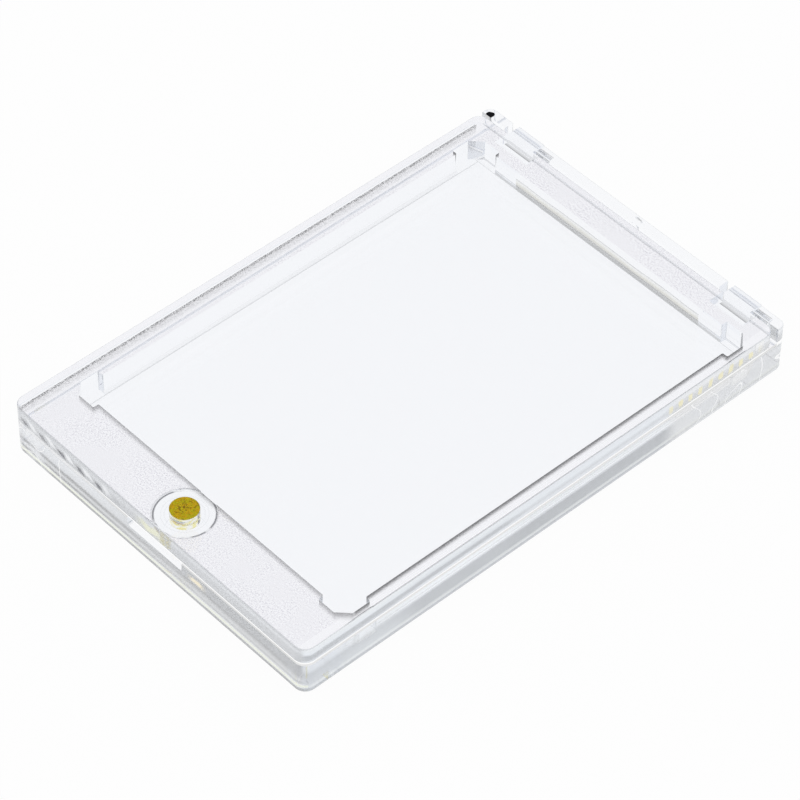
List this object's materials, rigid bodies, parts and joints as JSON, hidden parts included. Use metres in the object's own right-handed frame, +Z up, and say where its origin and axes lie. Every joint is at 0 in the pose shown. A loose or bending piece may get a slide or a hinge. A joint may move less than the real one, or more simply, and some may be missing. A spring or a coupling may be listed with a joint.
{
  "type": "trading card display case",
  "caption": "Clear rigid case for a trading card: a pocketed base tray and a hinged cover that disc magnets hold shut.",
  "frame": {"origin": "on the underside, below the middle of the card pocket", "axes": "+X across the card, +Y along it from the magnet end to the hinge end, +Z up through the cover"},
  "size_m": [0.072, 0.1079, 0.0107],
  "materials": {
    "clear_base": "clear moulded plastic, polished, with finely rippled borders",
    "clear_cover": "clear moulded plastic, polished",
    "gold_plate": "polished gold plating"
  },
  "bodies": {
    "base": {"base": "clear_base", "base_magnet": "gold_plate"},
    "cover": {"cover": "clear_cover", "cover_magnet": "gold_plate"}
  },
  "joints": [
    {"name": "cover_hinge", "type": "hinge", "parent": "base", "child": "cover", "pos_m": [0, 0.0504, 0.00945], "axis": [-1, 0, 0], "range_deg": [0, 180]}
  ]
}
